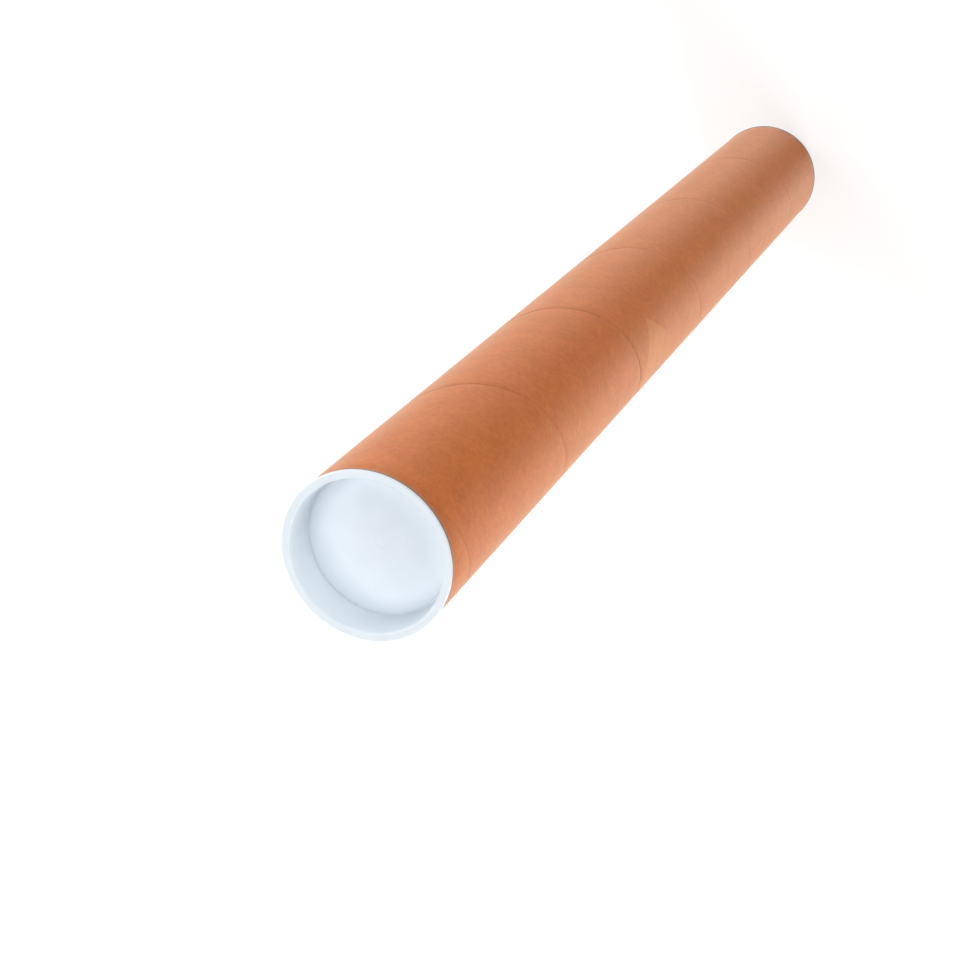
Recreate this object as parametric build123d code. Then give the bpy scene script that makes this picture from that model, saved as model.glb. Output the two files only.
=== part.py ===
from build123d import *
import math
import os

# A cardboard mailing tube, closed at each end by a white moulded plug cap.
# The tube stands on its bottom cap. +Z is its axis, and z = 0 is the surface it stands on.
# All lengths are in millimetres.

# Tube
BORE = 40.0  # inside diameter, by which such a tube is sold
WALL = 1.5
TUBE_LENGTH = 430.0

# Outer ply: one long strip wound round the tube, whose two edges meet in a helical seam
PLY_THICKNESS = 0.3
SEAM_PITCH = 74.0  # rise of the seam in one turn
SEAM_WIDTH = 0.6  # open gap between the strip's edges, across the seam
SEAM_START = 41.0  # height above the tube's lower end where the seam first passes the -X side

# Cap flange
FLANGE_THICKNESS = 0.8
FLANGE_OVERHANG = 0.1  # the flange's edge stands this far out from the tube's outer surface
RIM_BEVEL = 0.3  # on the flange's outer edge
LIP_BEVEL = 0.4  # where the flange turns down into the recess

# Cap plug
RECESS_DEPTH = 9.2  # from the flange's face to the floor
PLUG_WALL = 0.5
PLUG_FLOOR = 1.0
PLUG_RELIEF = 0.1  # gap between the plug's wall and the bore, at the flange
PLUG_TAPER = 0.6  # the plug's radius is this much smaller at its floor
PLUG_LEAD_IN = 0.9  # bevel that leads the plug into the bore

# Rings round the plug that grip the bore
GRIP_COUNT = 3
GRIP_CLEARANCE = 0.08  # radial
GRIP_BASE = 1.4  # width at the plug's wall
GRIP_ROOT = 0.1  # each ring's foot is let into the wall by this

# Mark left by the mould's gate in the middle of the floor
GATE_RADIUS = 1.6
GATE_DEPTH = 0.15

bore_radius = BORE / 2
tube_radius = bore_radius + WALL
tube_base = FLANGE_THICKNESS
tube_top = tube_base + TUBE_LENGTH

flange_radius = tube_radius + FLANGE_OVERHANG
floor_top = FLANGE_THICKNESS - RECESS_DEPTH
plug_depth = PLUG_FLOOR - floor_top
neck_radius = bore_radius - PLUG_RELIEF
foot_radius = neck_radius - PLUG_TAPER
crest_radius = bore_radius - GRIP_CLEARANCE


def seam_turn():
    """One turn of the bar that opens the seam, one ply deep. It starts and ends on the -X side."""
    path = Helix(SEAM_PITCH, SEAM_PITCH, tube_radius)
    across = Plane(origin=path @ 0, x_dir=(1, 0, 0), z_dir=path % 0)
    bar = sweep(across * Rectangle(2 * PLY_THICKNESS, SEAM_WIDTH), path=path, is_frenet=True)
    return Rot(0, 0, 180) * bar


def paper_tube():
    """Wound tube, cut square at both ends, with its outer ply's seam open from end to end."""
    ring = Circle(tube_radius) - Circle(bore_radius)
    tube = extrude(Pos(0, 0, tube_base) * ring, TUBE_LENGTH)
    bar = seam_turn()
    first = SEAM_START % SEAM_PITCH - SEAM_PITCH
    turns = math.ceil((TUBE_LENGTH + SEAM_WIDTH - first) / SEAM_PITCH)
    return tube - [Pos(0, 0, tube_base + first + turn * SEAM_PITCH) * bar for turn in range(turns)]


def plug_radius(z):
    """Outer radius of the plug's tapered wall at height z, which is 0 under the flange."""
    return neck_radius + PLUG_TAPER * z / plug_depth


def shell_section():
    """Half section of the cap without its rings: flange, tapered wall and floor."""
    foot = (foot_radius, -plug_depth)
    rim = (flange_radius, FLANGE_THICKNESS)
    lip = (plug_radius(FLANGE_THICKNESS) - PLUG_WALL, FLANGE_THICKNESS)
    section = make_face(
        Polyline(
            (0, -plug_depth),
            foot,
            (neck_radius, 0),
            (flange_radius, 0),
            rim,
            lip,
            (plug_radius(floor_top) - PLUG_WALL, floor_top),
            (0, floor_top),
            close=True,
        )
    )
    for corner, bevel in ((foot, PLUG_LEAD_IN), (rim, RIM_BEVEL), (lip, LIP_BEVEL)):
        section = chamfer(section.vertices().sort_by_distance(corner)[0], bevel)
    return section


def grip_section(z):
    """Half section of one grip ring: a ridge at height z, from inside the wall out to its crest."""
    above = z + GRIP_BASE / 2
    below = z - GRIP_BASE / 2
    outline = Polyline(
        (plug_radius(above) - GRIP_ROOT, above),
        (crest_radius, z),
        (plug_radius(below) - GRIP_ROOT, below),
        close=True,
    )
    return make_face(outline)


def plug_cap():
    """One cap, with its flange's underside at z = 0 and its plug pointing down."""
    section = shell_section()
    spacing = (plug_depth - PLUG_LEAD_IN) / GRIP_COUNT
    for ring in range(GRIP_COUNT):
        section += grip_section(-spacing * (ring + 0.5))
    gate = Pos(0, 0, floor_top) * Cylinder(GATE_RADIUS, 2 * GATE_DEPTH)
    return revolve(Plane.XZ * section, Axis.Z) - gate


def build():
    """Every node of the tube, by name."""
    cap = plug_cap()
    return {
        "paper_tube": paper_tube(),
        "top_cap": Pos(0, 0, tube_top) * cap,
        "bottom_cap": Pos(0, 0, tube_base) * Rot(180, 0, 0) * cap,
    }


os.makedirs("parts", exist_ok=True)
for node, solid in build().items():
    export_step(solid, f"parts/{node}.step")
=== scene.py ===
"""Looks of a cardboard mailing tube: wound kraft board with a helical seam, and two moulded plug caps.

Lengths are in metres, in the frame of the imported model: +Z is the tube's axis, and z = 0 is the surface
that the tube stands on.
"""

import logging
import math
from collections.abc import Callable
from dataclasses import asdict, dataclass
from enum import Enum

import bmesh
import bpy
import numpy as np
from mathutils import Matrix, Vector


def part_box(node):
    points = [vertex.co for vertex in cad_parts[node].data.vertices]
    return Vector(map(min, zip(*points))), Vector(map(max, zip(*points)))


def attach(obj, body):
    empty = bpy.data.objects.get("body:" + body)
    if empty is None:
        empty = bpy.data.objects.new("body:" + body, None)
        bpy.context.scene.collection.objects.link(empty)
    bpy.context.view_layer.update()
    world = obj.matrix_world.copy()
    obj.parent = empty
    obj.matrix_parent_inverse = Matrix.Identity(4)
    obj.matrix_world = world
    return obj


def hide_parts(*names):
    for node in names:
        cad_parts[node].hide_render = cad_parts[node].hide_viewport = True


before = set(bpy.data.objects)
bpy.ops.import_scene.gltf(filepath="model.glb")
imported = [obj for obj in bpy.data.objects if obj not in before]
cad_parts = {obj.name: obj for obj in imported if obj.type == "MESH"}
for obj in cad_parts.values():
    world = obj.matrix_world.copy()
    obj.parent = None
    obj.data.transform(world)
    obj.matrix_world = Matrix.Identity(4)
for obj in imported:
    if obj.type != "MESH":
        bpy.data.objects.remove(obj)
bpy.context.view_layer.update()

LOG = logging.getLogger("mailing_tube")
MM = 0.001
TAU = 2 * math.pi
STRIP_MAP = "Strip"
OPENNESS = "Openness"
WELD = 1e-7  # points closer than this are one point
STRAIGHT = 0.499 * math.pi  # half of a corner so wide that it stays as it is
MIX_INPUTS = (0, 6, 7)  # factor and the two colours of a Mix node
MIX_RESULT = 2
PATCH_POINTS = ((-106.1, 173.4), (-126.1, 186.2), (-146.1, 164.2))  # degrees, mm below the upper end

Socket = bpy.types.NodeSocket
Outputs = bpy.types.NodeOutputs
Tree = bpy.types.NodeTree
Material = bpy.types.Material
Colour = tuple[float, float, float, float]
Pair = tuple[float, float]
RadiusOf = Callable[[np.ndarray, np.ndarray], np.ndarray]
WHITE = (1.0, 1.0, 1.0, 1.0)


def srgb(red: int, green: int, blue: int) -> Colour:
    """Turns a display colour into the linear colour that a shader takes.

    Args:
        red: display value, 0 to 255.
        green: display value, 0 to 255.
        blue: display value, 0 to 255.

    Returns:
        Linear red, green and blue with an alpha of 1.
    """
    display = np.array([red, green, blue]) / 255
    linear = np.where(display <= 0.04045, display / 12.92, ((display + 0.055) / 1.055) ** 2.4)
    return (*(float(x) for x in linear), 1.0)


def ease(low: float, high: float, value: np.ndarray) -> np.ndarray:
    """Smooth step: 0 below low, 1 above high, and 3t^2 - 2t^3 between them."""
    t = np.clip((value - low) / (high - low), 0, 1)
    return t * t * (3 - 2 * t)


class Graph:
    """Adds nodes to one node tree and links them."""

    def __init__(self, tree: Tree) -> None:
        """Keeps the tree that the nodes go into."""
        self.tree = tree

    def add(self, kind: str, **settings: object) -> bpy.types.Node:
        """Adds one node.

        Args:
            kind: Blender's name of the node type.
            settings: the node's own properties, by name.

        Returns:
            The new node.
        """
        node = self.tree.nodes.new(kind)
        for name, value in settings.items():
            setattr(node, name, value)
        return node

    def feed(self, socket: Socket, value: object) -> None:
        """Links an input to another node's output, or gives it a constant.

        Args:
            socket: the input.
            value: the output or the constant.
        """
        if isinstance(value, Socket):
            self.tree.links.new(value, socket)
        else:
            socket.default_value = value

    def fed(self, node: bpy.types.Node, *values: object) -> Outputs:
        """Feeds a node's first inputs in order.

        Args:
            node: the node.
            values: an output or a constant for each input.

        Returns:
            The node's outputs.
        """
        for socket, value in zip(node.inputs, values):
            self.feed(socket, value)
        return node.outputs

    def math(self, operation: str, *values: object) -> Socket:
        """Result of a Math node on outputs or numbers."""
        return self.fed(self.add("ShaderNodeMath", operation=operation), *values)[0]

    def vector(self, operation: str, *values: object) -> Outputs:
        """Outputs of a Vector Math node: a vector first, and a number called Value."""
        return self.fed(self.add("ShaderNodeVectorMath", operation=operation), *values)

    def parts(self, vector: Socket) -> Outputs:
        """The three parts of a vector."""
        return self.fed(self.add("ShaderNodeSeparateXYZ"), vector)

    def largest(self, first: object, *others: object) -> Socket:
        """Largest of several outputs or numbers.

        Args:
            first: one of them.
            others: the rest.

        Returns:
            The largest.
        """
        for other in others:
            first = self.math("MAXIMUM", first, other)
        return first

    def weighted(self, first: tuple[Socket, float], *others: tuple[Socket, float]) -> Socket:
        """Sum of values, each times its weight.

        Args:
            first: a value and its weight.
            others: more of them.

        Returns:
            The sum.
        """
        total = self.math("MULTIPLY", *first)
        for value, weight in others:
            total = self.math("ADD", total, self.math("MULTIPLY", value, weight))
        return total

    def step(self, value: object, low: float, high: float, start: float = 0.0, end: float = 1.0) -> Socket:
        """Smooth step from start to end as the value goes from low to high."""
        node = self.add("ShaderNodeMapRange", interpolation_type="SMOOTHSTEP")
        return self.fed(node, value, low, high, start, end)[0]

    def mix(self, factor: object, first: object, second: object, blend: str = "MIX") -> Socket:
        """Mixes two colours.

        Args:
            factor: share of the second colour, or of the blended result.
            first: colour at a factor of 0.
            second: colour at a factor of 1, or the one that is blended with the first.
            blend: Blender's name of the way they blend.

        Returns:
            The mixed colour.
        """
        node = self.add("ShaderNodeMix", data_type="RGBA", blend_type=blend)
        for index, given in zip(MIX_INPUTS, (factor, first, second)):
            self.feed(node.inputs[index], given)
        return node.outputs[MIX_RESULT]

    def layered(self, colour: object, *layers: tuple[Socket, object, Colour]) -> Socket:
        """Lays tones over a colour in turn.

        Args:
            colour: the colour under them.
            layers: mask, share and tone of each. The tone covers the mask times the share.

        Returns:
            The colour with its tones.
        """
        for mask, share, tone in layers:
            colour = self.mix(self.math("MULTIPLY", mask, share), colour, tone)
        return colour

    def stretch(self, vector: object, scale: tuple[object, object, object], turn: float = 0.0) -> Socket:
        """Turns a vector about Z, then multiplies it by a scale for each axis.

        Args:
            vector: the vector.
            scale: an output or a number for each axis.
            turn: the angle.

        Returns:
            The new vector.
        """
        turned = self.add("ShaderNodeVectorRotate", rotation_type="Z_AXIS")
        self.feed(turned.inputs["Vector"], vector)
        self.feed(turned.inputs["Angle"], turn)
        factors = self.fed(self.add("ShaderNodeCombineXYZ"), *scale)
        return self.vector("MULTIPLY", turned.outputs[0], factors[0])[0]

    def noise(self, vector: object, scale: float, detail: float, flat: bool = True) -> Socket:
        """Reads a noise texture.

        Args:
            vector: the place that it is read at.
            scale: how fine it is, as waves in each unit of the place.
            detail: octaves.
            flat: whether it has two dimensions rather than three.

        Returns:
            Its value, from 0 to 1.
        """
        node = self.add("ShaderNodeTexNoise", noise_dimensions="2D" if flat else "3D")
        self.feed(node.inputs["Vector"], vector)
        self.feed(node.inputs["Scale"], scale)
        self.feed(node.inputs["Detail"], detail)
        return node.outputs["Fac"]

    def waver(self, noise: Socket, size: object) -> Socket:
        """Noise about zero: the noise less a half, times a size."""
        return self.math("MULTIPLY", self.math("SUBTRACT", noise, 0.5), size)


def new_group(name: str, inputs: dict[str, str], outputs: dict[str, str]) -> tuple[Graph, dict, dict]:
    """Makes an empty shader node group.

    Args:
        name: the group's name.
        inputs: kind of each input socket, by its name.
        outputs: kind of each output socket, by its name.

    Returns:
        The group's graph, the sockets that bring its inputs in, and the sockets that take its outputs.
    """
    tree = bpy.data.node_groups.new(name, "ShaderNodeTree")
    for side, sockets in (("INPUT", inputs), ("OUTPUT", outputs)):
        for socket, kind in sockets.items():
            tree.interface.new_socket(name=socket, in_out=side, socket_type=f"NodeSocket{kind}")
    graph = Graph(tree)
    source = graph.add("NodeGroupInput").outputs
    sink = graph.add("NodeGroupOutput").inputs
    return graph, {n: source[n] for n in inputs}, {n: sink[n] for n in outputs}


def place_group(graph: Graph, tree: Tree, **values: object) -> Outputs:
    """Puts a node group into a material.

    Args:
        graph: the material's graph.
        tree: the group.
        values: a socket or a constant for each input, its name written with underscores.

    Returns:
        The group's outputs.
    """
    node = graph.add("ShaderNodeGroup", node_tree=tree)
    for name, value in values.items():
        graph.feed(node.inputs[name.replace("_", " ").capitalize()], value)
    return node.outputs


def seen_in(graph: Graph) -> Socket:
    """1 where the camera looks, also in gloss and through glass, and 0 for light on the object."""
    path = graph.add("ShaderNodeLightPath").outputs
    return graph.largest(path["Is Camera Ray"], path["Is Glossy Ray"], path["Is Transmission Ray"])


def grain_group() -> Tree:
    """Node group of paper.

    Fibre is three layers of stretched noise that lean different ways. Mottle, Blotch and Cloud are ever
    coarser tones, Fleck is dark specks, and Relief a height.

    Returns:
        The group.
    """
    graph, given, made = new_group(
        "paper_grain",
        {"Place": "Vector", "Fibre length": "Float", "Fibre width": "Float", "Fleck spacing": "Float"},
        {name: "Float" for name in ("Fibre", "Mottle", "Blotch", "Cloud", "Fleck", "Relief")},
    )
    place = given["Place"]
    per_length = graph.math("DIVIDE", 1.0, given["Fibre length"])
    per_width = graph.math("DIVIDE", 1.0, given["Fibre width"])
    layers = ((0.0, 1.0, 3.0, 0.4), (0.9, 1.3, 2.0, 0.3), (-0.6, 1.1, 2.0, 0.3))
    strands = [
        (graph.noise(graph.stretch(place, (per_length, per_width, 1.0), turn), scale, detail), weight)
        for turn, scale, detail, weight in layers
    ]
    fibre = graph.weighted(*strands)
    graph.feed(made["Fibre"], graph.step(fibre, 0.34, 0.66))
    for name, scale, detail in (("Mottle", 560.0, 3.0), ("Blotch", 130.0, 2.0), ("Cloud", 48.0, 2.0)):
        graph.feed(made[name], graph.step(graph.noise(place, scale, detail), 0.3, 0.7))
    lying = fleck_layer(graph, place, given["Fleck spacing"], 0.5, 0.35)
    crossing = fleck_layer(graph, place, given["Fleck spacing"], -0.8, 0.6)
    graph.feed(made["Fleck"], graph.largest(lying, crossing))
    graph.feed(made["Relief"], graph.weighted((fibre, 0.35), (graph.noise(place, 1500.0, 3.0), 0.65)))
    return graph.tree


def fleck_layer(graph: Graph, place: Socket, spacing: Socket, turn: float, slimness: float) -> Socket:
    """Scatters dark specks that lean one way.

    They are the middles of a few chosen cells of a stretched plane, with rough edges.

    Args:
        graph: the graph that the layer goes into.
        place: place on the paper, in metres.
        spacing: length of a cell, in metres.
        turn: angle at which the specks lie.
        slimness: a speck's width over its length.

    Returns:
        1 in a speck and 0 outside it.
    """
    per_length = graph.math("DIVIDE", 1.0, spacing)
    per_width = graph.math("DIVIDE", per_length, slimness)
    cells = graph.add("ShaderNodeTexVoronoi", voronoi_dimensions="2D", feature="F1")
    graph.feed(cells.inputs["Vector"], graph.stretch(place, (per_length, per_width, 1.0), turn))
    graph.feed(cells.inputs["Scale"], 1.0)
    lot = graph.fed(graph.add("ShaderNodeSeparateColor"), cells.outputs["Color"])
    ragged = graph.waver(graph.noise(place, 4200.0, 2.0), 0.22)
    reach = graph.step(graph.math("POWER", lot[1], 2.5), 0.0, 1.0, 0.05, 0.24)
    distance = graph.math("ADD", cells.outputs["Distance"], ragged)
    spot = graph.math("SUBTRACT", 1.0, graph.math("DIVIDE", distance, reach))
    chosen = graph.step(lot[0], 0.7, 1.0)
    return graph.math("MULTIPLY", graph.step(spot, 0.0, 0.7), chosen)


def seam_group() -> Tree:
    """Node group of a ply's two edges where they meet.

    Line is the dark opening, broken along its length. The second output is painted shade: a soft dark band
    on the strip's upper edge where the seam stands open. The third is a painted highlight: a pale line there
    where it is tight.

    Returns:
        The group.
    """
    graph, given, made = new_group(
        "ply_seam",
        {"Place": "Vector", **{n: "Float" for n in ("Openness", "Strip width", "Line", "Stain")}},
        {"Line": "Float", "Stain": "Float", "Painted highlight": "Float"},
    )
    place, stain = given["Place"], given["Stain"]
    above = graph.parts(place)[1]
    below = graph.math("SUBTRACT", given["Strip width"], above)
    wander = graph.waver(graph.noise(place, 600.0, 2.0), 0.4 * MM)
    nearest = graph.math("ADD", graph.math("MINIMUM", above, below), wander)
    line = graph.step(graph.math("DIVIDE", nearest, given["Line"]), 0.3, 1.0, 1.0, 0.0)
    lengthwise = graph.stretch(place, (120.0, 0.0, 0.0))
    patchy = graph.step(graph.noise(lengthwise, 1.0, 2.0), 0.3, 0.65, 0.6, 1.0)
    open_share = graph.math("MULTIPLY", patchy, given["Openness"])
    graph.feed(made["Line"], graph.math("MULTIPLY", line, graph.step(open_share, 0.0, 0.5, 0.15, 1.0)))
    # painted shade: a dark band beside the seam where it stands open
    middle = graph.math("MULTIPLY", stain, 0.35)
    over = graph.math("ADD", above, middle)
    under = graph.math("ABSOLUTE", graph.math("SUBTRACT", below, middle))
    spread = graph.math("DIVIDE", graph.math("ADD", graph.math("MINIMUM", over, under), wander), stain)
    graph.feed(made["Stain"], graph.math("MULTIPLY", graph.step(spread, 0.0, 1.0, 1.0, 0.0), open_share))
    # painted highlight: a pale line on the seam's tight edge
    crest = graph.math("ABSOLUTE", graph.math("SUBTRACT", graph.math("DIVIDE", below, stain), 0.75))
    tight = graph.step(given["Openness"], 0.1, 0.4, 1.0, 0.0)
    graph.feed(made["Painted highlight"], graph.math("MULTIPLY", graph.step(crest, 0.0, 0.45, 1.0, 0.0), tight))
    return graph.tree


def end_fade_group() -> Tree:
    """Node group of a mask near the tube's two ends: 1 at an end's edge, fading over a ragged reach. It
    places wear on the liner and painted shade on the outer face and on the caps' flanges.

    Returns:
        The group.
    """
    graph, given, made = new_group(
        "end_fade",
        {"Point": "Vector", **{n: "Float" for n in ("Low end", "High end", "Reach", "Ragged")}},
        {"Wear": "Float"},
    )
    height = graph.parts(given["Point"])[2]
    above = graph.math("SUBTRACT", height, given["Low end"])
    below = graph.math("SUBTRACT", given["High end"], height)
    nearest = graph.math("ABSOLUTE", graph.math("MINIMUM", above, below))
    distance = graph.math("DIVIDE", nearest, given["Reach"])
    ragged = graph.waver(graph.noise(given["Point"], 700.0, 3.0, flat=False), given["Ragged"])
    graph.feed(made["Wear"], graph.step(graph.math("ADD", distance, ragged), 0.0, 1.0, 1.0, 0.0))
    return graph.tree


@dataclass(frozen=True)
class PaperGroups:
    """Node groups that the finishes share."""

    grain: Tree
    seam: Tree
    wear: Tree


@dataclass(frozen=True)
class GrainSize:
    """Sizes of a paper's grain."""

    fibre_length: float
    fibre_width: float
    fleck_spacing: float


class Finish:
    """A material with one Principled shader, built by the finishes that follow."""

    def __init__(self, name: str, fixed: dict[str, object]) -> None:
        """Makes the material.

        Args:
            name: the material's name.
            fixed: the shader's constant values, by socket name.
        """
        self.material = bpy.data.materials.new(name)
        self.material.use_nodes = True
        self.graph = Graph(self.material.node_tree)
        self.shader = self.material.node_tree.nodes["Principled BSDF"]
        for socket, value in fixed.items():
            self.shader.inputs[socket].default_value = value

    def point(self) -> Socket:
        """Place on the object, in metres."""
        return self.graph.add("ShaderNodeTexCoord").outputs["Object"]

    def from_axis(self) -> Socket:
        """Distance from the tube's axis."""
        return self.graph.vector("LENGTH", self.graph.stretch(self.point(), (1.0, 1.0, 0.0)))["Value"]

    def strip_place(self) -> Socket:
        """Place on a ply's strip: metres along it and across it."""
        return self.graph.add("ShaderNodeUVMap", uv_map=STRIP_MAP).outputs[0]

    def openness(self) -> Socket:
        """How far the seam stands open there, from 0 to 1."""
        return self.graph.add("ShaderNodeAttribute", attribute_name=OPENNESS).outputs["Fac"]

    def grained(self, groups: PaperGroups, place: Socket, size: GrainSize) -> Outputs:
        """Masks and relief of a paper's grain of a given size, at a place."""
        return place_group(self.graph, groups.grain, place=place, **asdict(size))

    def worn(self, groups: PaperGroups, ends: Pair, reach: float, ragged: float) -> Socket:
        """Finds what lies near the tube's ends.

        Args:
            groups: the shared node groups.
            ends: heights of the tube's lower and upper ends.
            reach: distance from an end at which the mask is gone.
            ragged: how uneven that distance is.

        Returns:
            The mask: 1 at an end's edge and 0 beyond the reach.
        """
        low, high = ends
        given = {"point": self.point(), "low_end": low, "high_end": high, "reach": reach, "ragged": ragged}
        return place_group(self.graph, groups.wear, **given)["Wear"]

    def complete(self, colour: Socket, roughness: Socket, height: Socket, depth: float) -> Material:
        """Feeds the shader and gives the finished material.

        Args:
            colour: base colour.
            roughness: roughness.
            height: relief, from 0 to 1.
            depth: the relief's depth in metres.

        Returns:
            The material.
        """
        bump = self.graph.add("ShaderNodeBump")
        self.graph.feed(bump.inputs["Height"], height)
        bump.inputs["Strength"].default_value = 1.0
        bump.inputs["Distance"].default_value = depth
        fed = {"Base Color": colour, "Roughness": roughness, "Normal": bump.outputs[0]}
        for socket, value in fed.items():
            self.graph.feed(self.shader.inputs[socket], value)
        return self.material


@dataclass(frozen=True)
class PalePatch:
    """A slightly paler three-cornered patch of the outer ply, as a corner and two edges on the strip."""

    corner: Pair
    edge_a: Pair
    edge_b: Pair
    softness: float = 0.5 * MM
    reach: float = 30 * MM
    whole: float = 0.3  # share of the reach over which it keeps its full strength

    def mask(self, graph: Graph, place: Socket) -> Socket:
        """Finds the patch: the product of a step across each edge and a fade away from the corner.

        Args:
            graph: the material's graph.
            place: the place on the strip.

        Returns:
            1 between the two edges near the corner, and 0 outside them or far from it.
        """
        offset = graph.vector("SUBTRACT", place, (*self.corner, 0.0))[0]
        sides = []
        for edge, other in ((self.edge_a, self.edge_b), (self.edge_b, self.edge_a)):
            normal = Vector((-edge[1], edge[0], 0.0)).normalized()
            if normal.dot(Vector((*other, 0.0))) < 0:
                normal.negate()
            inwards = graph.vector("DOT_PRODUCT", offset, normal)["Value"]
            sides.append(graph.step(inwards, 0.0, self.softness))
        away = graph.vector("LENGTH", offset)["Value"]
        near = graph.step(away, self.whole * self.reach, self.reach, 1.0, 0.0)
        return graph.math("MULTIPLY", graph.math("MULTIPLY", *sides), near)


@dataclass(frozen=True)
class KraftFinish:
    """Machine-finished kraft paper on the outside of the tube, with painted shade by its seam and ends and a
    painted highlight on the seam.
    """

    face: Colour = srgb(226, 128, 64)
    dark: Colour = srgb(196, 100, 50)
    pale: Colour = srgb(241, 149, 79)
    fleck: Colour = srgb(148, 81, 37)
    # the seam's dark opening, and the painted shade beside it
    seam: Colour = srgb(108, 56, 29)
    patch: Colour = srgb(240, 163, 100)
    # painted shade of the gap under each cap's flange
    glue: Colour = srgb(179, 142, 117)
    blotches: tuple[Colour, Colour] = (srgb(247, 246, 246), WHITE)  # the face is multiplied by these
    clouds: tuple[Colour, Colour] = (srgb(249, 248, 238), srgb(252, 248, 255))
    evenness: float = 0.84  # share of the face's own colour over its fibres
    mottle_share: float = 0.32
    patch_share: float = 0.34
    fleck_share: float = 0.5
    # shares of the painted shade beside the seam and the painted highlight on its tight edge
    stain_share: float = 0.2
    ridge_share: float = 0.16
    line_share: float = 0.16
    # shares of the painted shade near the caps and in the gap under each flange
    wear_share: float = 0.3
    edge_share: float = 0.86
    grain: GrainSize = GrainSize(2.2 * MM, 0.42 * MM, 2.4 * MM)
    seam_line: float = 0.6 * MM
    # width of the painted shade beside the seam
    seam_stain: float = 2.3 * MM
    wear: Pair = (7.0 * MM, 1.2)  # painted shade near the caps: reach, and how ragged it is
    # painted shade of the gap under each cap's flange: reach, and how ragged it is
    edge_wear: Pair = (2.2 * MM, 0.5)
    bump: float = 0.022 * MM
    roughness: Pair = (0.7, 0.84)
    gloss: float = 0.02
    sheen: float = 0.53
    sheen_roughness: float = 0.42
    sheen_tint: Colour = (1.0, 0.98, 0.84, 1.0)

    def build(self, groups: PaperGroups, strip_width: float, ends: Pair, patch: PalePatch) -> Material:
        """Makes the material.

        Args:
            groups: the shared node groups.
            strip_width: width of the outer ply's strip.
            ends: heights of the tube's lower and upper ends.
            patch: the paler patch.

        Returns:
            The finished material.
        """
        finish = Finish(
            "kraft_face",
            {
                "Specular IOR Level": self.gloss,
                "Sheen Weight": self.sheen,
                "Sheen Roughness": self.sheen_roughness,
                "Sheen Tint": self.sheen_tint,
            },
        )
        graph = finish.graph
        place = finish.strip_place()
        grain = finish.grained(groups, place, self.grain)
        seam = place_group(
            graph, groups.seam, place=place, openness=finish.openness(), strip_width=strip_width,
            line=self.seam_line, stain=self.seam_stain,
        )
        colour = graph.mix(grain["Fibre"], self.dark, self.pale)
        colour = graph.mix(self.evenness, colour, self.face)
        colour = graph.layered(colour, (grain["Mottle"], self.mottle_share, self.dark))
        for mask, tones in ((grain["Blotch"], self.blotches), (grain["Cloud"], self.clouds)):
            colour = graph.mix(1.0, colour, graph.mix(mask, *tones), blend="MULTIPLY")
        colour = graph.layered(
            colour,
            (patch.mask(graph, place), self.patch_share, self.patch),
            (grain["Fleck"], self.fleck_share, self.fleck),
            # painted shade beside the open seam, and a painted highlight on its tight edge
            (seam["Stain"], self.stain_share, self.seam),
            (seam["Painted highlight"], self.ridge_share, self.pale),
            (seam["Line"], self.line_share, self.seam),
            # painted shade near the caps, and in the gap under each cap's flange
            (finish.worn(groups, ends, *self.wear), self.wear_share, self.dark),
            (finish.worn(groups, ends, *self.edge_wear), self.edge_share, self.glue),
        )
        roughness = graph.step(grain["Fibre"], 0.0, 1.0, *self.roughness)
        return finish.complete(colour, roughness, grain["Relief"], self.bump)


@dataclass(frozen=True)
class CutBoardFinish:
    """Sawn end of the board, where its glued plies show as rings, with painted shade on its outer edge under
    the cap's flange.
    """

    ply: Colour = srgb(198, 130, 86)
    pale_ply: Colour = srgb(216, 158, 114)
    # glue in the ply joints and fibres, and painted shade on the outer edge
    glue: Colour = srgb(132, 80, 48)
    pale_share: float = 0.6
    fibre_share: float = 0.4
    joint_share: float = 0.6
    rim_share: float = 0.8
    joint: Pair = (0.02, 0.16)  # shares of a ply between which a glued joint fades
    rim: Pair = (4.2, 4.9)  # plies from the bore between which painted shade darkens the outer edge
    wobble: float = 0.12 * MM
    grain: GrainSize = GrainSize(0.7 * MM, 0.16 * MM, 1.6 * MM)
    bump: float = 0.1 * MM
    joint_depth: float = 0.5  # share of the relief
    roughness: Pair = (0.85, 0.95)
    gloss: float = 0.15
    sheen: float = 0.25
    sheen_roughness: float = 0.5

    def build(self, groups: PaperGroups, bore: float, ply_thickness: float) -> Material:
        """Makes the material.

        Args:
            groups: the shared node groups.
            bore: radius of the bore.
            ply_thickness: thickness of one ply.

        Returns:
            The finished material.
        """
        fixed = {
            "Specular IOR Level": self.gloss,
            "Sheen Weight": self.sheen,
            "Sheen Roughness": self.sheen_roughness,
        }
        finish = Finish("cut_board", fixed)
        graph = finish.graph
        point = finish.point()
        grain = finish.grained(groups, point, self.grain)
        across = finish.from_axis()
        wobble = graph.waver(graph.noise(point, 240.0, 2.0, flat=False), self.wobble)
        depth = graph.math("SUBTRACT", graph.math("ADD", across, wobble), bore)
        plies = graph.math("DIVIDE", depth, ply_thickness)
        part = graph.math("FRACT", plies)
        joint = graph.math("MINIMUM", part, graph.math("SUBTRACT", 1.0, part))
        line = graph.step(joint, *self.joint, 1.0, 0.0)
        odd = graph.math("PINGPONG", graph.math("FLOOR", plies), 1.0)
        rim = graph.step(across, *(bore + plies_in * ply_thickness for plies_in in self.rim))
        colour = graph.layered(
            self.ply,
            (odd, self.pale_share, self.pale_ply),
            (grain["Fibre"], self.fibre_share, self.glue),
            (line, self.joint_share, self.glue),
            # painted shade on the outer edge, under the cap's flange
            (rim, self.rim_share, self.glue),
        )
        roughness = graph.step(grain["Fibre"], 0.0, 1.0, *self.roughness)
        height = graph.math("SUBTRACT", grain["Relief"], graph.math("MULTIPLY", line, self.joint_depth))
        return finish.complete(colour, roughness, height, self.bump)


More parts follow.
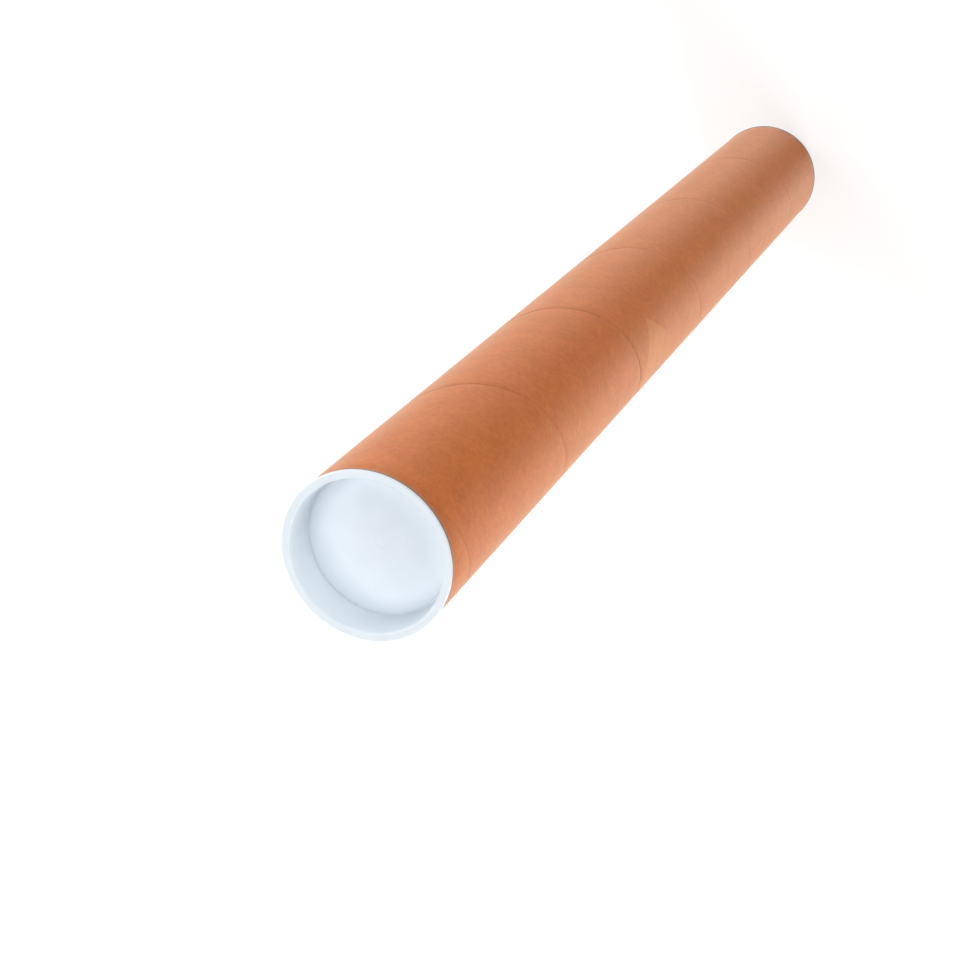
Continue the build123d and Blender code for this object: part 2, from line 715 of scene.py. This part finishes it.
@dataclass(frozen=True)
class LinerFinish:
    """Plain inner ply, seen when a cap is out."""

    face: Colour = srgb(190, 126, 80)
    dark: Colour = srgb(158, 98, 58)
    fleck: Colour = srgb(92, 54, 32)
    seam: Colour = srgb(84, 48, 28)
    fibre_share: float = 0.5
    cloud_share: float = 0.2
    fleck_share: float = 0.7
    line_share: float = 0.7
    wear_share: float = 0.3
    grain: GrainSize = GrainSize(3.2 * MM, 0.45 * MM, 2.0 * MM)
    seam_line: float = 0.5 * MM
    seam_stain: float = 2.0 * MM
    wear: Pair = (2.2 * MM, 1.2)  # reach, and how ragged it is
    bump: float = 0.06 * MM
    roughness: Pair = (0.82, 0.92)
    gloss: float = 0.2
    sheen: float = 0.15
    sheen_roughness: float = 0.5

    def build(self, groups: PaperGroups, strip_width: float, ends: Pair) -> Material:
        """Makes the material.

        Args:
            groups: the shared node groups.
            strip_width: width of the inner ply's strip.
            ends: heights of the tube's lower and upper ends.

        Returns:
            The finished material.
        """
        fixed = {
            "Specular IOR Level": self.gloss,
            "Sheen Weight": self.sheen,
            "Sheen Roughness": self.sheen_roughness,
        }
        finish = Finish("board_liner", fixed)
        graph = finish.graph
        place = finish.strip_place()
        grain = finish.grained(groups, place, self.grain)
        seam = place_group(
            graph, groups.seam, place=place, openness=1.0, strip_width=strip_width,
            line=self.seam_line, stain=self.seam_stain,
        )
        colour = graph.layered(
            self.face,
            (grain["Fibre"], self.fibre_share, self.dark),
            (grain["Cloud"], self.cloud_share, self.dark),
            (grain["Fleck"], self.fleck_share, self.fleck),
            (seam["Line"], self.line_share, self.seam),
            (finish.worn(groups, ends, *self.wear), self.wear_share, self.dark),
        )
        roughness = graph.step(grain["Fibre"], 0.0, 1.0, *self.roughness)
        return finish.complete(colour, roughness, grain["Relief"], self.bump)


@dataclass(frozen=True)
class CapFinish:
    """White moulded plastic with a fine matt skin, and painted shade on the flange's lower edge."""

    face: Colour = srgb(233, 241, 248)
    cloudy: Colour = srgb(231, 239, 246)
    rub: Colour = srgb(172, 144, 122)  # painted shade on the flange's lower edge
    rub_wear: Pair = (0.35 * MM, 0.5)  # reach, and how ragged it is
    rub_inset: Pair = (0.5 * MM, 0.3 * MM)  # from the flange's edge, between which the painted shade thickens
    haze: float = 0.08
    haze_depth: float = 0.8 * MM
    gloss: float = 0.3
    roughness: Pair = (0.46, 0.56)
    flow_relief: float = 0.6
    skin_relief: float = 0.4
    bump: float = 0.012 * MM

    def build(self, groups: PaperGroups, ends: Pair, radius: float) -> Material:
        """Makes the material.

        Args:
            groups: the shared node groups.
            ends: heights of the tube's lower and upper ends.
            radius: radius of the flange.

        Returns:
            The finished material.
        """
        finish = Finish(
            "cap_skin",
            {
                "Specular IOR Level": self.gloss,
                "Subsurface Weight": self.haze,
                "Subsurface Radius": WHITE[:3],
                "Subsurface Scale": self.haze_depth,
            },
        )
        graph = finish.graph
        point = finish.point()
        flow = graph.noise(graph.stretch(point, (1.0, 1.0, 2.5)), 160.0, 3.0, flat=False)
        moulded = graph.noise(point, 5200.0, 2.0, flat=False)
        colour = graph.mix(graph.step(flow, 0.35, 0.7), self.face, self.cloudy)
        outside = graph.step(finish.from_axis(), *(radius - inset for inset in self.rub_inset))
        # painted shade on the flange's lower edge, where it meets the tube
        colour = graph.layered(colour, (finish.worn(groups, ends, *self.rub_wear), outside, self.rub))
        roughness = graph.step(flow, 0.3, 0.7, *self.roughness)
        height = graph.weighted((flow, self.flow_relief), (moulded, self.skin_relief))
        return finish.complete(colour, roughness, height, self.bump)


@dataclass(frozen=True)
class FloorFinish:
    """Pale floor, white to the camera, in gloss and through glass, that keeps the object's shadow."""

    face: Colour = srgb(185, 185, 185)
    near_lift: float = 0.56  # light added where the camera looks, close to the object
    far_lift: float = 1.0
    near: float = 0.12
    far: float = 0.6

    def build(self) -> Material:
        """Makes the material.

        Returns:
            The finished material.
        """
        finish = Finish(
            "studio_floor",
            {
                "Base Color": self.face,
                "Roughness": 0.95,
                "Specular IOR Level": 0.05,
                "Emission Color": WHITE,
            },
        )
        graph = finish.graph
        away = graph.vector("LENGTH", finish.point())["Value"]
        lift = graph.step(away, self.near, self.far, self.near_lift, self.far_lift)
        strength = graph.math("MULTIPLY", seen_in(graph), lift)
        graph.feed(finish.shader.inputs["Emission Strength"], strength)
        return finish.material


@dataclass
class Band:
    """Rows of a surface on a grid of angles: each field is an array of rows by columns."""

    radius: np.ndarray
    height: np.ndarray
    along: np.ndarray
    across: np.ndarray
    openness: np.ndarray
    slot: int = 0

    def arrays(self) -> tuple[np.ndarray, ...]:
        """Its five arrays, in the order of the fields."""
        return self.radius, self.height, self.along, self.across, self.openness

    def reversed(self) -> "Band":
        """The same rows in the opposite order."""
        return Band(*(rows[::-1] for rows in self.arrays()), self.slot)


def skin(name: str, angles: np.ndarray, bands: list[Band]) -> bpy.types.Object:
    """Builds one closed piece from bands of rows that follow each other round its section.

    A point is (radius cos(angle), radius sin(angle), height). Rows that meet are welded, so rows that
    coincide leave no face.

    Args:
        name: the piece's name.
        angles: the columns' angles, from 0 to a full turn with both ends in.
        bands: the bands, in order round the section.

    Returns:
        The piece, at the origin, with its strip map and its faces pointing outwards.
    """
    radius, height, along, across, openness = (np.vstack(rows) for rows in zip(*(b.arrays() for b in bands)))
    points = np.stack([radius * np.cos(angles), radius * np.sin(angles), height], axis=-1)
    places = np.stack([along, across], axis=-1)
    slots = np.concatenate([np.full(len(b.radius), b.slot) for b in bands])
    rows, columns = radius.shape
    index = np.arange(rows * columns).reshape(rows, columns)
    corners = [index[:-1, :-1], index[:-1, 1:], index[1:, 1:], index[1:, :-1]]
    faces = np.stack(corners, axis=-1).reshape(-1, 4)
    mesh = bpy.data.meshes.new(name)
    mesh.from_pydata(points.reshape(-1, 3), [], faces)
    strip = mesh.uv_layers.new(name=STRIP_MAP)
    strip.uv.foreach_set("vector", places.reshape(-1, 2)[faces.ravel()].ravel())
    mesh.polygons.foreach_set("material_index", np.repeat(slots[:-1], columns - 1))
    opening = mesh.attributes.new(OPENNESS, "FLOAT", "POINT")
    opening.data.foreach_set("value", openness.ravel())
    mesh.shade_smooth()
    weld(mesh)
    piece = bpy.data.objects.new(name, mesh)
    bpy.context.scene.collection.objects.link(piece)
    return piece


def weld(mesh: bpy.types.Mesh) -> None:
    """Merges points that coincide, drops faces with no area and turns the faces outwards.

    Args:
        mesh: the mesh, which is changed.
    """
    work = bmesh.new()
    work.from_mesh(mesh)
    bmesh.ops.remove_doubles(work, verts=work.verts, dist=WELD)
    if work.calc_volume(signed=True) < 0:
        bmesh.ops.reverse_faces(work, faces=work.faces)
    work.to_mesh(mesh)
    work.free()
    mesh.update()


def columns_round(count: int) -> np.ndarray:
    """Angles of a grid's columns, with the first one repeated a full turn on."""
    return np.linspace(0.0, TAU, count + 1)


@dataclass(frozen=True)
class Winding:
    """A ply's strip wound at a steady pitch, so that its two edges meet in a helix."""

    radius: float
    pitch: float
    start: float  # height at which the seam passes the -X side on turn 0

    @property
    def slope(self) -> float:
        """Angle between the seam and the tube's section."""
        return math.atan2(self.pitch, TAU * self.radius)

    @property
    def strip_width(self) -> float:
        """Width of the strip, square to its edges."""
        return self.pitch * math.cos(self.slope)

    def seam_height(self, angle: np.ndarray, turn: np.ndarray) -> np.ndarray:
        """Height of the seam: the start, plus a pitch for each turn past the -X side."""
        return self.start + self.pitch * ((angle - math.pi) / TAU + turn)

    def place(self, angle: np.ndarray, height: np.ndarray, turn: np.ndarray) -> tuple[np.ndarray, ...]:
        """Place on the unwound strip.

        With the rise above the strip's lower edge, along is the arc divided by the slope's cosine plus
        the rise times its sine, and across is the rise times its cosine.

        Args:
            angle: angle about the tube's axis.
            height: height up the tube.
            turn: the turn of the strip that the point is on.

        Returns:
            Distances along and across the strip.
        """
        rise = height - self.seam_height(angle, turn)
        arc = self.radius * (angle + TAU * turn)
        return arc / math.cos(self.slope) + rise * math.sin(self.slope), rise * math.cos(self.slope)

    def turn_of(self, angle: float, height: float) -> int:
        """Turn of the strip that a point is on."""
        return math.floor((height - float(self.seam_height(angle, 0))) / self.pitch)

    def seam_distance(self, angle: np.ndarray, height: np.ndarray, shift: float = 0.0) -> np.ndarray:
        """Distance square to the nearest seam, or to a line that lies a share of the pitch above it."""
        part = np.mod((height - self.seam_height(angle, 0)) / self.pitch - shift, 1.0)
        return np.minimum(part, 1 - part) * self.strip_width


@dataclass
class PaperTube:
    """The wound tube: outer face with its open seam, two sawn ends and the bore."""

    radius: float
    low: float
    high: float
    wall: float = 1.5 * MM
    ply: float = 0.3 * MM
    pitch: float = 74 * MM
    seam_start: float = 41 * MM  # above the lower end, on the -X side
    seam_gap: float = 0.6 * MM
    seam_edge: float = 0.22 * MM  # half the width over which a ply's edge rounds down
    seam_depth: Pair = (0.06, 0.5)  # of a ply: where the seam is tight, and what openness adds
    shoulder: float = 0.05 * MM  # how far the strip's edges dip
    shoulder_width: float = 1.1 * MM
    hidden_seams: tuple[float, ...] = (0.36, 0.68)  # lower plies' seams, as shares of the pitch
    hidden_depth: float = 0.03 * MM
    hidden_width: float = 1.0 * MM
    tight_side: float = math.radians(-92)  # where the strip's edges meet
    tight_reach: float = 0.08  # of that side, as 1 less a cosine
    widest: float = 300 * MM  # height at which the seam stands widest open
    widest_reach: float = 70 * MM
    least_open: float = 0.05
    usual_open: float = 0.3  # far from the widest height
    open_wave: float = 0.25  # share that comes and goes along the seam
    unevenness: float = 0.05 * MM
    end_round: float = 0.4 * MM
    end_spans: int = 4  # in each rounded corner of a sawn end
    end_rows: int = 24  # across a sawn end
    joint_depth: float = 0.05 * MM  # of the grooves between the plies there
    bore_seam_depth: float = 0.6  # of a ply
    bore_seam_gap: float = 0.8  # of the outer seam's
    bore_unevenness: float = 0.02 * MM
    columns: int = 230

    def __post_init__(self) -> None:
        """Works out the bore and the windings of the outer and the inner ply."""
        self.bore = self.radius - self.wall
        start = self.low + self.seam_start
        self.outer = Winding(self.radius, self.pitch, start)
        self.inner = Winding(self.bore, self.pitch, start + 0.5 * self.pitch)

    def unevenness_at(self, angle: np.ndarray, height: np.ndarray) -> np.ndarray:
        """Slow waves in the wall: a half plus half the average of four sines of whole turns and lengths.

        Args:
            angle: angle about the tube's axis.
            height: height up the tube.

        Returns:
            The waves, from 0 to 1.
        """
        waves = ((2, 61.0, 0.4), (3, -38.0, 2.1), (5, 97.0, 4.4), (1, 150.0, 1.3))
        total = sum(np.sin(turns * angle + height * along + phase) for turns, along, phase in waves)
        return 0.5 + total / (2 * len(waves))

    def openness_at(self, angle: np.ndarray, height: np.ndarray) -> np.ndarray:
        """How far the seam stands open, from 0 to 1.

        It is 1 less a bell about the tight side, times a share that peaks at one height and a slow wave.

        Args:
            angle: angle about the tube's axis.
            height: height up the tube.

        Returns:
            The openness.
        """
        apart = 1 - np.exp((np.cos(angle - self.tight_side) - 1) / self.tight_reach)
        peak = np.exp(-(((height - self.widest) / self.widest_reach) ** 2))
        share = self.usual_open + (1 - self.usual_open) * peak
        wave = 1 - self.open_wave + self.open_wave * np.sin(height * 63.0 + 2 * angle + 0.5)
        return self.least_open + (1 - self.least_open) * apart * share * wave

    def gap_at(self, angle: np.ndarray, height: np.ndarray) -> np.ndarray:
        """Half the seam's gap, between a fifth of its width where it is tight and its full width."""
        return 0.5 * self.seam_gap * (0.2 + 0.8 * self.openness_at(angle, height))

    def outer_radius(self, angle: np.ndarray, height: np.ndarray) -> np.ndarray:
        """Radius of the outer face: the tube's, less all that dips below it, but no more than a ply.

        The seam is a smooth step at its edges, and its shoulders and each lower ply's seam are bells
        about their lines. The wall's waves are taken off last.

        Args:
            angle: angle about the tube's axis.
            height: height up the tube.

        Returns:
            The radius.
        """
        distance = self.outer.seam_distance(angle, height)
        half_gap = self.gap_at(angle, height)
        tight, opened = self.seam_depth
        depth = self.ply * (tight + opened * self.openness_at(angle, height))
        dip = depth * (1 - ease(-self.seam_edge, self.seam_edge, distance - half_gap))
        dip = dip + self.shoulder * np.exp(-((distance / self.shoulder_width) ** 2))
        for share in self.hidden_seams:
            hidden = self.outer.seam_distance(angle, height, share)
            felt = self.hidden_depth * (0.5 + 0.5 * np.sin(3 * angle + 41.0 * height + 9.0 * share))
            dip = dip + felt * np.exp(-((hidden / self.hidden_width) ** 2))
        return self.radius - np.minimum(dip, self.ply) - self.unevenness * self.unevenness_at(angle, height)

    def inner_radius(self, angle: np.ndarray, height: np.ndarray) -> np.ndarray:
        """Radius of the bore, with the inner ply's seam a smooth step into the wall.

        Args:
            angle: angle about the tube's axis.
            height: height up the tube.

        Returns:
            The radius.
        """
        past_edge = self.inner.seam_distance(angle, height) - 0.5 * self.bore_seam_gap * self.seam_gap
        dip = self.bore_seam_depth * self.ply * (1 - ease(-self.seam_edge, self.seam_edge, past_edge))
        return self.bore + dip + self.bore_unevenness * self.unevenness_at(angle, height)

    def rises(self, extra: tuple[float, ...], spacing: float) -> np.ndarray:
        """Heights of a ply's rows above its lower edge, close together at the seams.

        Args:
            extra: further lines that need close rows, as shares of the pitch.
            spacing: distance between the rows elsewhere.

        Returns:
            The heights, in order.
        """
        near = np.array([0.0, 0.12, 0.22, 0.3, 0.38, 0.5, 0.8, 1.4, 2.6]) * MM
        about = np.array([-1.8, -0.9, -0.4, 0.0, 0.4, 0.9, 1.8]) * MM
        inside = np.arange(2 * spacing, self.pitch - spacing, spacing)
        rows = [near, self.pitch - near, inside, *(share * self.pitch + about for share in extra)]
        return np.unique(np.concatenate(rows))

    def wall_band(self, winding: Winding, radius_of: RadiusOf, rises: np.ndarray, slot: int) -> Band:
        """Rows up one face of the wall, each ply's rows parallel to its seam and cut off at the ends.

        Args:
            winding: the face's ply.
            radius_of: function of angle and height that gives the face's radius.
            rises: heights of a ply's rows above its lower edge.
            slot: material slot.

        Returns:
            The band, from the lower end to the upper.
        """
        angle = columns_round(self.columns)[None, :]
        first = math.floor((self.low - winding.start) / self.pitch - 0.5) - 1
        last = math.ceil((self.high - winding.start) / self.pitch + 0.5)
        turn = np.repeat(np.arange(first, last + 1), len(rises))[:, None]
        height = winding.seam_height(angle, turn) + np.tile(rises, last + 1 - first)[:, None]
        height = np.clip(height, self.low + self.end_round, self.high - self.end_round)
        along, across = winding.place(angle, height, turn)
        return Band(radius_of(angle, height), height, along, across, self.openness_at(angle, height), slot)

    def end_band(self, upper: bool, slot: int) -> Band:
        """Rows over one sawn end, from the outer face to the bore.

        The two corners are quarter rounds, and the face between them has a fine groove at each ply joint:
        its depth is a power of a cosine that peaks there.

        Args:
            upper: whether it is the upper end.
            slot: material slot.

        Returns:
            The band, from the outside in.
        """
        angle = columns_round(self.columns)[None, :]
        side = 1 if upper else -1
        end = self.high if upper else self.low
        level = np.full_like(angle, end - side * self.end_round)
        outside = self.outer_radius(angle, level)
        inside = self.inner_radius(angle, level)
        corner = np.linspace(0.0, math.pi / 2, self.end_spans + 1)[:, None]
        sunk = self.end_round * (1 - np.sin(corner))
        moved = self.end_round * (1 - np.cos(corner))
        share = np.linspace(0.0, 1.0, self.end_rows + 2)[1:-1, None]
        face = outside - self.end_round + share * (inside - outside + 2 * self.end_round)
        joint = np.cos(math.pi * (face - self.bore) / self.ply) ** 8
        ragged = 0.5 + 0.5 * np.sin(17 * angle + 9 * np.sin(5 * angle))
        sunk_face = self.joint_depth * joint * (0.4 + 0.6 * ragged)
        radius = np.vstack([outside - moved, face, (inside + moved)[::-1]])
        sunk = np.vstack([sunk + 0 * angle, sunk_face, (sunk + 0 * angle)[::-1]])
        height = end - side * sunk
        return Band(radius, height, self.radius * angle + 0 * radius, radius, 0 * radius, slot)

    def build(self, finishes: list[Material]) -> bpy.types.Object:
        """Makes the tube's mesh and dresses it.

        Args:
            finishes: materials of the outer face, the sawn ends and the bore.

        Returns:
            The finished piece.
        """
        outer = self.wall_band(self.outer, self.outer_radius, self.rises(self.hidden_seams, 6 * MM), 0)
        inner = self.wall_band(self.inner, self.inner_radius, self.rises((), 12 * MM), 2)
        bands = [outer, self.end_band(True, 1), inner.reversed(), self.end_band(False, 1).reversed()]
        piece = skin("wound_tube", columns_round(self.columns), bands)
        for finish in finishes:
            piece.data.materials.append(finish)
        return piece


class CapEnd(Enum):
    """The end that a cap closes: its CAD node, body and piece, and which way its face looks."""

    TOP = ("top_cap", "top_plug", 1)
    BOTTOM = ("bottom_cap", "bottom_plug", -1)

    def __init__(self, node: str, piece: str, side: int) -> None:
        """Keeps the member's facts by name.

        Args:
            node: the cap's CAD node, and the body of the same name.
            piece: the name of the cap's piece.
            side: 1 where its face looks up, and -1 where it looks down.
        """
        self.node = node
        self.piece = piece
        self.side = side


def rounded(corners: list[tuple[float, float, float]], steps: int = 6) -> np.ndarray:
    """Outline through corners, each replaced by an arc that touches both its sides.

    The arc starts at radius / tan(half the corner's angle) from the corner, and its points turn evenly
    about the centre.

    Args:
        corners: radius, height and rounding of each corner, in order. The first and last stay sharp.
        steps: spans in each arc.

    Returns:
        Points of the outline, as rows of radius and height.
    """
    spots = np.array([c[:2] for c in corners])
    outline = [spots[:1]]
    for before, spot, after, size in zip(spots, spots[1:], spots[2:], [c[2] for c in corners[1:]]):
        back = (before - spot) / np.linalg.norm(before - spot)
        ahead = (after - spot) / np.linalg.norm(after - spot)
        half = 0.5 * math.acos(float(np.clip(back @ ahead, -1, 1)))
        if half > STRAIGHT:
            outline.append(spot[None, :])
            continue
        middle = (back + ahead) / np.linalg.norm(back + ahead)
        centre = spot + middle * size / math.sin(half)
        reach = size / math.tan(half)
        start = spot + back * reach - centre
        stop = spot + ahead * reach - centre
        turn = math.copysign(1.0, start[0] * stop[1] - start[1] * stop[0])
        angle = turn * np.linspace(0.0, math.pi - 2 * half, steps + 1)
        arc = np.outer(np.cos(angle), start) + np.outer(np.sin(angle), (-start[1], start[0]))
        outline.append(centre + arc)
    outline.append(spots[-1:])
    return np.vstack(outline)


@dataclass
class PlugCap:
    """A moulded cap: flange with a rounded lip, tapered cup, floor with its gate mark, and grip rings."""

    end: CapEnd
    flange_radius: float
    face: float  # height of the flange's face
    bore: float
    flange: float = 0.8 * MM
    recess: float = 9.2 * MM
    wall: float = 0.5 * MM
    floor: float = 1.0 * MM
    relief: float = 0.1 * MM
    taper: float = 0.6 * MM
    grip_count: int = 3
    grip_clearance: float = 0.08 * MM
    grip_base: float = 1.4 * MM
    grip_round: float = 0.12 * MM  # of a ring's crest, and of the corner under the flange
    grip_foot_round: float = 0.2 * MM
    lead_in: float = 0.9 * MM
    rim_round: float = 0.38 * MM
    edge_round: float = 0.1 * MM  # of the flange's lower edge and the channel's corners
    lip_round: float = 0.55 * MM
    floor_round: float = 0.4 * MM
    groove_width: float = 0.4 * MM  # of the channel round the floor's edge
    groove_depth: float = 0.28 * MM
    groove_reach: float = 1.3  # widths from the wall to where the channel meets the floor
    gate_radius: float = 1.6 * MM
    gate_depth: float = 0.15 * MM
    gate_slope: float = 0.5 * MM
    gate_round: float = 0.6 * MM
    columns: int = 192

    def plug_radius(self, height: float) -> float:
        """Outer radius of the tapered cup, at a height below the flange's face."""
        depth = self.recess + self.floor - self.flange
        return self.bore - self.relief + self.taper * (height + self.flange) / depth

    def section(self) -> np.ndarray:
        """Half section of the cap, from the middle of its underside round to the middle of its floor.

        Returns:
            Points of the section, as rows of radius and height above the flange's face.
        """
        foot = -self.recess - self.floor
        floor = -self.recess
        corners = [(0.0, foot, 0.0), (self.plug_radius(foot), foot, self.lead_in)]
        spacing = (-self.flange - foot - self.lead_in) / self.grip_count
        for ring in reversed(range(self.grip_count)):
            middle = -self.flange - spacing * (ring + 0.5)
            below = middle - self.grip_base / 2
            above = middle + self.grip_base / 2
            corners += [
                (self.plug_radius(below), below, self.grip_foot_round),
                (self.bore - self.grip_clearance, middle, self.grip_round),
                (self.plug_radius(above), above, self.grip_foot_round),
            ]
        cup = self.plug_radius(floor) - self.wall
        channel = floor - self.groove_depth
        corners += [
            (self.plug_radius(-self.flange), -self.flange, self.grip_round),
            (self.flange_radius, -self.flange, self.edge_round),
            (self.flange_radius, 0.0, self.rim_round),
            (self.plug_radius(0.0) - self.wall, 0.0, self.lip_round),
            (cup, channel, self.edge_round),
            (cup - self.groove_width, channel, self.edge_round),
            (cup - self.groove_reach * self.groove_width, floor, self.floor_round),
            (self.gate_radius, floor, self.gate_round),
            (self.gate_radius - self.gate_slope, floor - self.gate_depth, self.gate_round),
            (0.0, floor - self.gate_depth, 0.0),
        ]
        return rounded(corners)

    def build(self, finish: Material) -> bpy.types.Object:
        """Makes the cap's mesh, its section carried round the axis, and dresses it.

        Args:
            finish: the cap's material.

        Returns:
            The finished piece.
        """
        outline = self.section()
        angles = columns_round(self.columns)
        radius = outline[:, :1] + 0 * angles
        height = self.face + self.end.side * outline[:, 1:] + 0 * angles
        run = np.concatenate([[0.0], np.cumsum(np.linalg.norm(np.diff(outline, axis=0), axis=1))])
        band = Band(radius, height, self.bore * angles + 0 * radius, run[:, None] + 0 * radius, 0 * radius)
        piece = skin(self.end.piece, angles, [band])
        piece.data.materials.append(finish)
        return piece


@dataclass(frozen=True)
class PhotoCamera:
    """The photograph's camera, placed from the tube's upper end."""

    aside: float = 244.64 * MM  # from the tube's axis, towards -Y
    above: float = 373.72 * MM  # over the tube's upper end
    heading: float = math.radians(1.955)  # of the view, from +Y towards -X
    downward: float = math.radians(60.811)
    roll: float = math.radians(-135.35)
    sensor: float = 36.0  # millimetres
    lens: float = 70.83  # millimetres

    def build(self, top: float) -> bpy.types.Object:
        """Makes the camera and the scene's view through it.

        Args:
            top: height of the tube's upper end.

        Returns:
            The camera.
        """
        data = bpy.data.cameras.new("photo_camera")
        data.sensor_width = self.sensor
        data.lens = self.lens
        data.clip_start = 0.01
        camera = bpy.data.objects.new("photo_camera", data)
        place = Matrix.Translation((0.0, -self.aside, top + self.above))
        level = Matrix.Rotation(self.heading, 4, "Z") @ Matrix.Rotation(math.pi / 2 - self.downward, 4, "X")
        camera.matrix_world = place @ level @ Matrix.Rotation(self.roll, 4, "Z")
        bpy.context.scene.collection.objects.link(camera)
        bpy.context.scene.camera = camera
        return camera


@dataclass(frozen=True)
class SoftBox:
    """A square soft light aimed at a point."""

    name: str
    place: tuple[float, float, float]
    aim: tuple[float, float, float]
    size: float
    power: float

    def build(self) -> bpy.types.Object:
        """Makes the light.

        Returns:
            The light.
        """
        data = bpy.data.lights.new(self.name, "AREA")
        data.shape = "SQUARE"
        data.size = self.size
        data.energy = self.power
        light = bpy.data.objects.new(self.name, data)
        turn = (Vector(self.aim) - Vector(self.place)).to_track_quat("-Z", "Y")
        light.matrix_world = Matrix.Translation(self.place) @ turn.to_matrix().to_4x4()
        bpy.context.scene.collection.objects.link(light)
        return light


@dataclass(frozen=True)
class Studio:
    """Pale floor, four soft boxes round the tube and an even sky."""

    floor_size: float = 12.0
    sky: float = 0.16
    boxes: tuple[SoftBox, ...] = (
        SoftBox("box_plus_x", (1.2, 0.25, 0.35), (0.0, 0.0, 0.2), 0.7, 11.1),
        SoftBox("box_minus_x", (-1.17, 0.42, 0.35), (0.0, 0.0, 0.2), 0.7, 13.8),
        SoftBox("box_above", (0.08, 0.34, 1.4), (0.0, 0.0, 0.43), 1.0, 8.4),
        SoftBox("box_front", (-0.05, -1.3, 0.9), (0.0, 0.0, 0.35), 0.9, 10.0),
    )

    def build(self, floor: FloorFinish) -> None:
        """Makes the floor, the lights and the sky.

        Args:
            floor: the floor's finish.
        """
        half = self.floor_size / 2
        corners = [(-half, -half, 0.0), (half, -half, 0.0), (half, half, 0.0), (-half, half, 0.0)]
        mesh = bpy.data.meshes.new("studio_floor")
        mesh.from_pydata(corners, [], [(0, 1, 2, 3)])
        ground = bpy.data.objects.new("studio_floor", mesh)
        mesh.materials.append(floor.build())
        bpy.context.scene.collection.objects.link(ground)
        for box in self.boxes:
            box.build()
        self.build_sky()

    def build_sky(self) -> None:
        """Makes a sky that lights evenly and looks white to the camera, in gloss and through glass."""
        world = bpy.data.worlds.new("studio_sky")
        world.use_nodes = True
        graph = Graph(world.node_tree)
        background = world.node_tree.nodes["Background"]
        background.inputs["Color"].default_value = WHITE
        graph.feed(background.inputs["Strength"], graph.largest(seen_in(graph), self.sky))
        bpy.context.scene.world = world


def patch_on(tube: PaperTube) -> PalePatch:
    """Places the paler patch on the outer ply from three points: its corner and one along each edge.

    Args:
        tube: the tube, whose outer winding the patch lies on.

    Returns:
        The patch on the unwound strip.
    """
    points = [(math.radians(angle), tube.high - down * MM) for angle, down in PATCH_POINTS]
    turn = tube.outer.turn_of(*points[0])
    corner, *sides = (np.array(tube.outer.place(*point, turn)) for point in points)
    return PalePatch(tuple(corner), *(tuple(side - corner) for side in sides))


def dress(piece: bpy.types.Object, node: str, body: str) -> None:
    """Makes a piece stand for a CAD node, and reports it.

    Args:
        piece: the piece.
        node: the node that it replaces.
        body: the body that it rides on.
    """
    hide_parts(node)
    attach(piece, body)
    LOG.info("%s: %d faces, for %s", piece.name, len(piece.data.polygons), node)


def main() -> None:
    """Builds the tube, its caps and the studio."""
    logging.basicConfig(level=logging.INFO, format="%(name)s %(message)s")
    bpy.context.scene.view_settings.view_transform = "Standard"
    low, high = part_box("paper_tube")
    tube = PaperTube(radius=high.x, low=low.z, high=high.z)
    ends = (tube.low, tube.high)
    groups = PaperGroups(grain_group(), seam_group(), end_fade_group())
    finishes = [
        KraftFinish().build(groups, tube.outer.strip_width, ends, patch_on(tube)),
        CutBoardFinish().build(groups, tube.bore, tube.ply),
        LinerFinish().build(groups, tube.inner.strip_width, ends),
    ]
    dress(tube.build(finishes), "paper_tube", "tube")
    plastic = CapFinish().build(groups, ends, tube.radius)
    for end in CapEnd:
        low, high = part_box(end.node)
        cap = PlugCap(end, flange_radius=high.x, face=high.z if end is CapEnd.TOP else low.z, bore=tube.bore)
        dress(cap.build(plastic), end.node, end.node)
    Studio().build(FloorFinish())
    PhotoCamera().build(tube.high)


if __name__ == "__main__":
    main()
